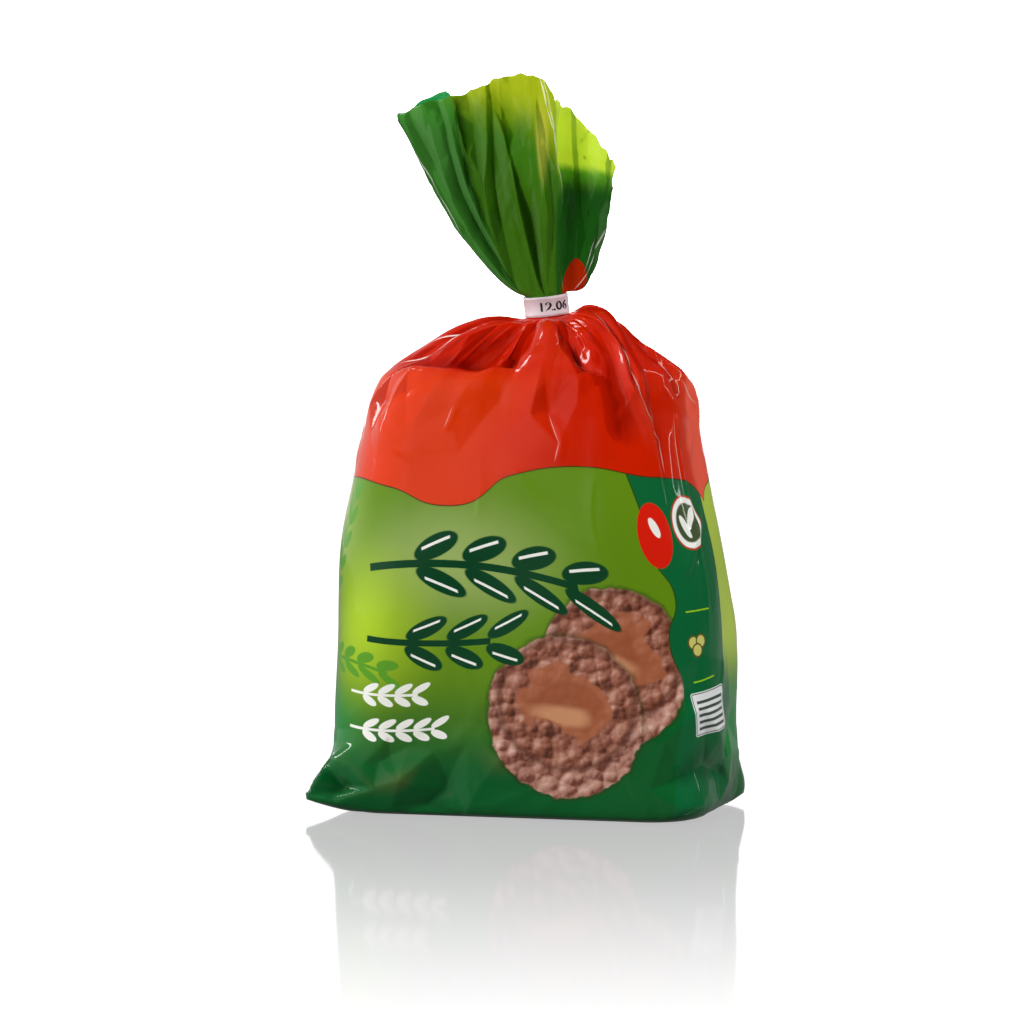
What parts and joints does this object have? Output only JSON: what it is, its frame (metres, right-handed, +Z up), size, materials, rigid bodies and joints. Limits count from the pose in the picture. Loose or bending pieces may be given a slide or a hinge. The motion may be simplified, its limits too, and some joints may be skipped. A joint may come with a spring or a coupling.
{
  "type": "bag of puffed rice cakes",
  "caption": "Upright printed film bag full of puffed rice cakes, gathered to a neck under a white band, with the loose film above it spread as a leaning fan.",
  "frame": {"origin": "middle of the base of the whole outline, on the surface that the bag stands on", "axes": "+Z up to the fan of loose film, -Y the front panel, +X the bag's right side as seen from the front"},
  "size_m": [0.1594, 0.0962, 0.2923],
  "materials": {
    "film": "glossy printed plastic film, red above and green below",
    "band": "satin white tape"
  },
  "bodies": {
    "root": {"bag": "film", "neck_band": "band"}
  },
  "joints": []
}
